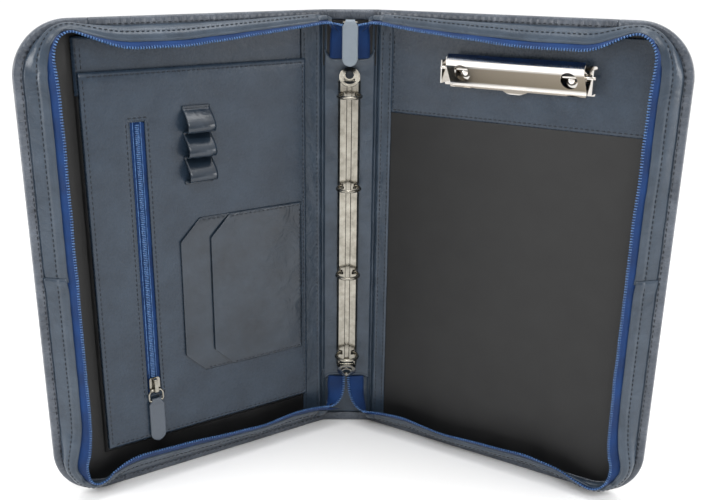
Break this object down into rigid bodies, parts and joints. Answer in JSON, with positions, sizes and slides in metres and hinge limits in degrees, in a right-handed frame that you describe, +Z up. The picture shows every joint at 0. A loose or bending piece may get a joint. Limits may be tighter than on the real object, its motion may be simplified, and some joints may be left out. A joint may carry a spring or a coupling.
{
  "type": "portfolio case",
  "caption": "Zip-round leather portfolio case standing open, with a ring binder in its spine, an organiser leaf, a document pocket and a sprung paper clip.",
  "frame": {"origin": "middle of the footprint of the open case, on the surface it stands on", "axes": "+X to the right along the opened case as seen by its reader, +Y away from the reader towards the spine, +Z up along the spine"},
  "size_m": [0.481, 0.1412, 0.384],
  "materials": {
    "leather": "semi-gloss navy-grey pebbled leather",
    "lining": "black woven lining",
    "board": "plain greyboard",
    "nickel": "bright nickel plate",
    "chrome": "bright chrome plate",
    "spring_steel": "bare spring wire",
    "zip_tape": "royal blue woven tape",
    "zip_coil": "blue nylon coil"
  },
  "bodies": {
    "spine": {"spine_leather": "leather", "spine_board": "board", "spine_lining": "lining", "spine_bindings": "leather", "ring_panel": "leather", "zip_top_end": "zip_tape", "zip_bottom_end": "zip_tape", "ring_housing": "nickel", "ring_rivets": "nickel", "lever_pins": "nickel"},
    "left_cover": {"left_leather": "leather", "left_board": "board", "left_lining": "lining", "left_top_binding": "leather", "left_side_binding": "leather", "left_bottom_binding": "leather", "left_upper_gusset": "leather", "left_lower_gusset": "leather", "left_zip_tape": "zip_tape", "left_zip_coil": "zip_coil", "left_hinge_strip": "leather", "document_pocket": "lining", "document_pocket_trim": "leather"},
    "right_cover": {"right_leather": "leather", "right_board": "board", "right_lining": "lining", "right_top_binding": "leather", "right_side_binding": "leather", "right_bottom_binding": "leather", "right_upper_gusset": "leather", "right_lower_gusset": "leather", "right_zip_tape": "zip_tape", "right_zip_coil": "zip_coil", "right_hinge_strip": "leather", "clip_band": "leather", "clip_base": "chrome", "clip_rivets": "chrome", "clip_pin": "chrome", "clip_spring": "spring_steel"},
    "leaf": {"leaf_front": "leather", "leaf_board": "board", "leaf_back": "leather", "pen_loops": "leather", "card_pocket_front": "leather", "card_pocket_back": "leather", "pocket_zip_tape": "zip_tape", "pocket_zip_coil": "zip_coil"},
    "pocket_slider": {"pocket_slider": "nickel"},
    "pocket_pull_ring": {"pocket_pull_ring": "nickel"},
    "pocket_pull": {"pocket_pull": "leather"},
    "clip_jaw": {"clip_jaw": "chrome"},
    "left_rings": {"left_ring_blade": "nickel", "left_half_rings": "nickel"},
    "right_rings": {"right_ring_blade": "nickel", "right_half_rings": "nickel"},
    "top_lever": {"top_lever": "nickel"},
    "bottom_lever": {"bottom_lever": "nickel"},
    "main_slider": {"main_slider": "nickel"},
    "main_pull_ring": {"main_pull_ring": "nickel"},
    "main_pull": {"main_pull": "leather"}
  },
  "joints": [
    {"name": "left_cover_fold", "type": "hinge", "parent": "spine", "child": "left_cover", "pos_m": [-0.023, 0.06975, 0.192], "axis": [0, 0, -1], "range_deg": [-58, 32]},
    {"name": "right_cover_fold", "type": "hinge", "parent": "spine", "child": "right_cover", "pos_m": [0.023, 0.06975, 0.192], "axis": [0, 0, 1], "range_deg": [-58, 32]},
    {"name": "leaf_turn", "type": "hinge", "parent": "left_cover", "child": "leaf", "pos_m": [-0.0364, 0.04629, 0.192], "axis": [0, 0, 1], "range_deg": [0, 110]},
    {"name": "pocket_slider_run", "type": "slide", "parent": "leaf", "child": "pocket_slider", "axis": [0, 0, 1], "range_m": [0, 0.2]},
    {"name": "pocket_ring_swing", "type": "hinge", "parent": "pocket_slider", "child": "pocket_pull_ring", "pos_m": [-0.15996, -0.0347, 0.08415], "axis": [-0.848, -0.5299, 0], "range_deg": [0, 120]},
    {"name": "pocket_pull_swing", "type": "hinge", "parent": "pocket_pull_ring", "child": "pocket_pull", "pos_m": [-0.15996, -0.0347, 0.07415], "axis": [-0.848, -0.5299, 0], "range_deg": [0, 70]},
    {"name": "clip_open", "type": "hinge", "parent": "right_cover", "child": "clip_jaw", "pos_m": [0.12546, -0.00783, 0.342], "axis": [-0.848, 0.5299, 0], "range_deg": [0, 22], "stiffness_Nm_per_rad": 0.3, "springref_deg": -11.46},
    {"name": "left_rings_open", "type": "hinge", "parent": "spine", "child": "left_rings", "pos_m": [-0.0076, 0.06445, 0.1935], "axis": [0, 0, -1], "range_deg": [0, 18]},
    {"name": "right_rings_open", "type": "hinge", "parent": "spine", "child": "right_rings", "pos_m": [0.0076, 0.06445, 0.1935], "axis": [0, 0, 1], "range_deg": [0, 18]},
    {"name": "top_lever_lift", "type": "hinge", "parent": "spine", "child": "top_lever", "pos_m": [0, 0.06285, 0.326], "axis": [1, 0, 0], "range_deg": [0, 21.6]},
    {"name": "bottom_lever_lift", "type": "hinge", "parent": "spine", "child": "bottom_lever", "pos_m": [0, 0.06285, 0.061], "axis": [-1, 0, 0], "range_deg": [0, 21.6]},
    {"name": "main_slider_run", "type": "slide", "parent": "spine", "child": "main_slider", "axis": [0, 0, 1], "range_m": [-0.01, 0]},
    {"name": "main_ring_swing", "type": "hinge", "parent": "main_slider", "child": "main_pull_ring", "pos_m": [0, 0.06225, 0.37085], "axis": [-1, 0, 0], "range_deg": [0, 60]},
    {"name": "main_pull_swing", "type": "hinge", "parent": "main_pull_ring", "child": "main_pull", "pos_m": [0, 0.05298, 0.3746], "axis": [-1, 0, 0], "range_deg": [0, 120]}
  ],
  "couplings": [
    {"joint": "right_rings_open", "follows": "left_rings_open", "ratio": 1},
    {"joint": "top_lever_lift", "follows": "left_rings_open", "ratio": 1.2},
    {"joint": "bottom_lever_lift", "follows": "left_rings_open", "ratio": 1.2}
  ]
}
